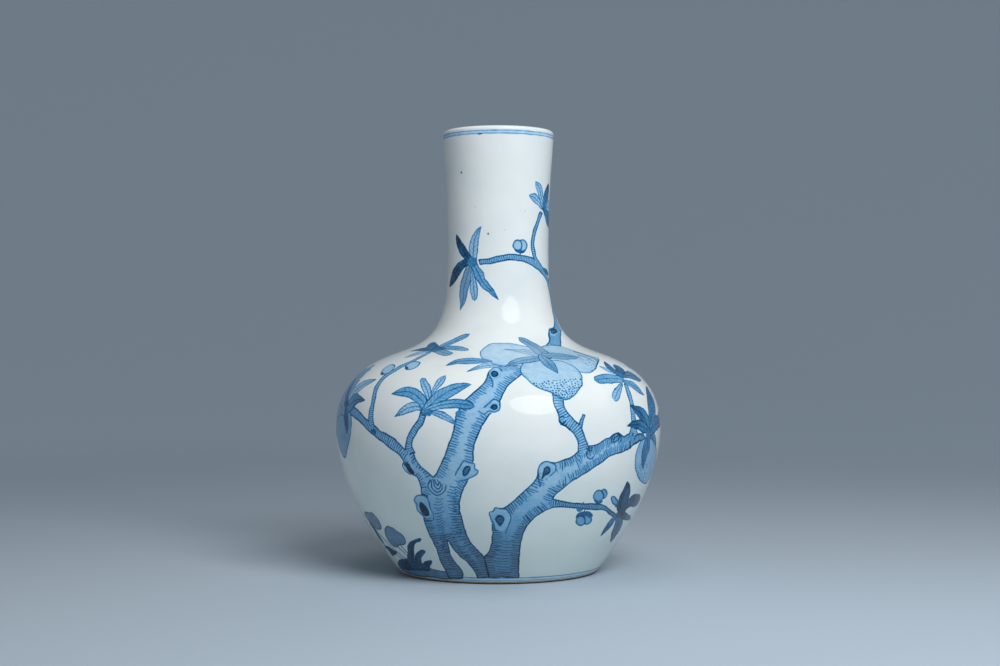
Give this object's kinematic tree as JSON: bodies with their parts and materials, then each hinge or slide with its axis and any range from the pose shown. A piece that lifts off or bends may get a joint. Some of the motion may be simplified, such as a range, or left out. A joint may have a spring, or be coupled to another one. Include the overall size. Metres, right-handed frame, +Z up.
{
  "type": "tianqiuping vase",
  "caption": "Globular bottle vase of porcelain with a long neck and rounded lip, painted in underglaze blue with a gnarled fruiting tree, on a low bare foot ring.",
  "frame": {"origin": "centre of the foot ring's resting plane, on the table", "axes": "+Z up along the axis the vase was thrown on; the middle of the painting faces -Y"},
  "size_m": [0.2662, 0.2662, 0.36],
  "materials": {
    "bare_porcelain": "matt, bare fired clay",
    "porcelain_clay": "matt, fired clay under glaze",
    "porcelain_slip": "matt, fired slip under glaze",
    "painted_glaze": "glossy clear glaze over cobalt blue painting",
    "clear_glaze": "glossy clear glaze with a faint blue-green tint"
  },
  "bodies": {
    "root": {"foot_ring": "bare_porcelain", "base_disc": "porcelain_clay", "lower_belly": "porcelain_clay", "belly_slip_seam": "porcelain_slip", "upper_belly": "porcelain_clay", "neck_slip_seam": "porcelain_slip", "neck": "porcelain_clay", "outer_glaze": "painted_glaze", "inner_glaze": "clear_glaze", "base_glaze": "clear_glaze"}
  },
  "joints": []
}
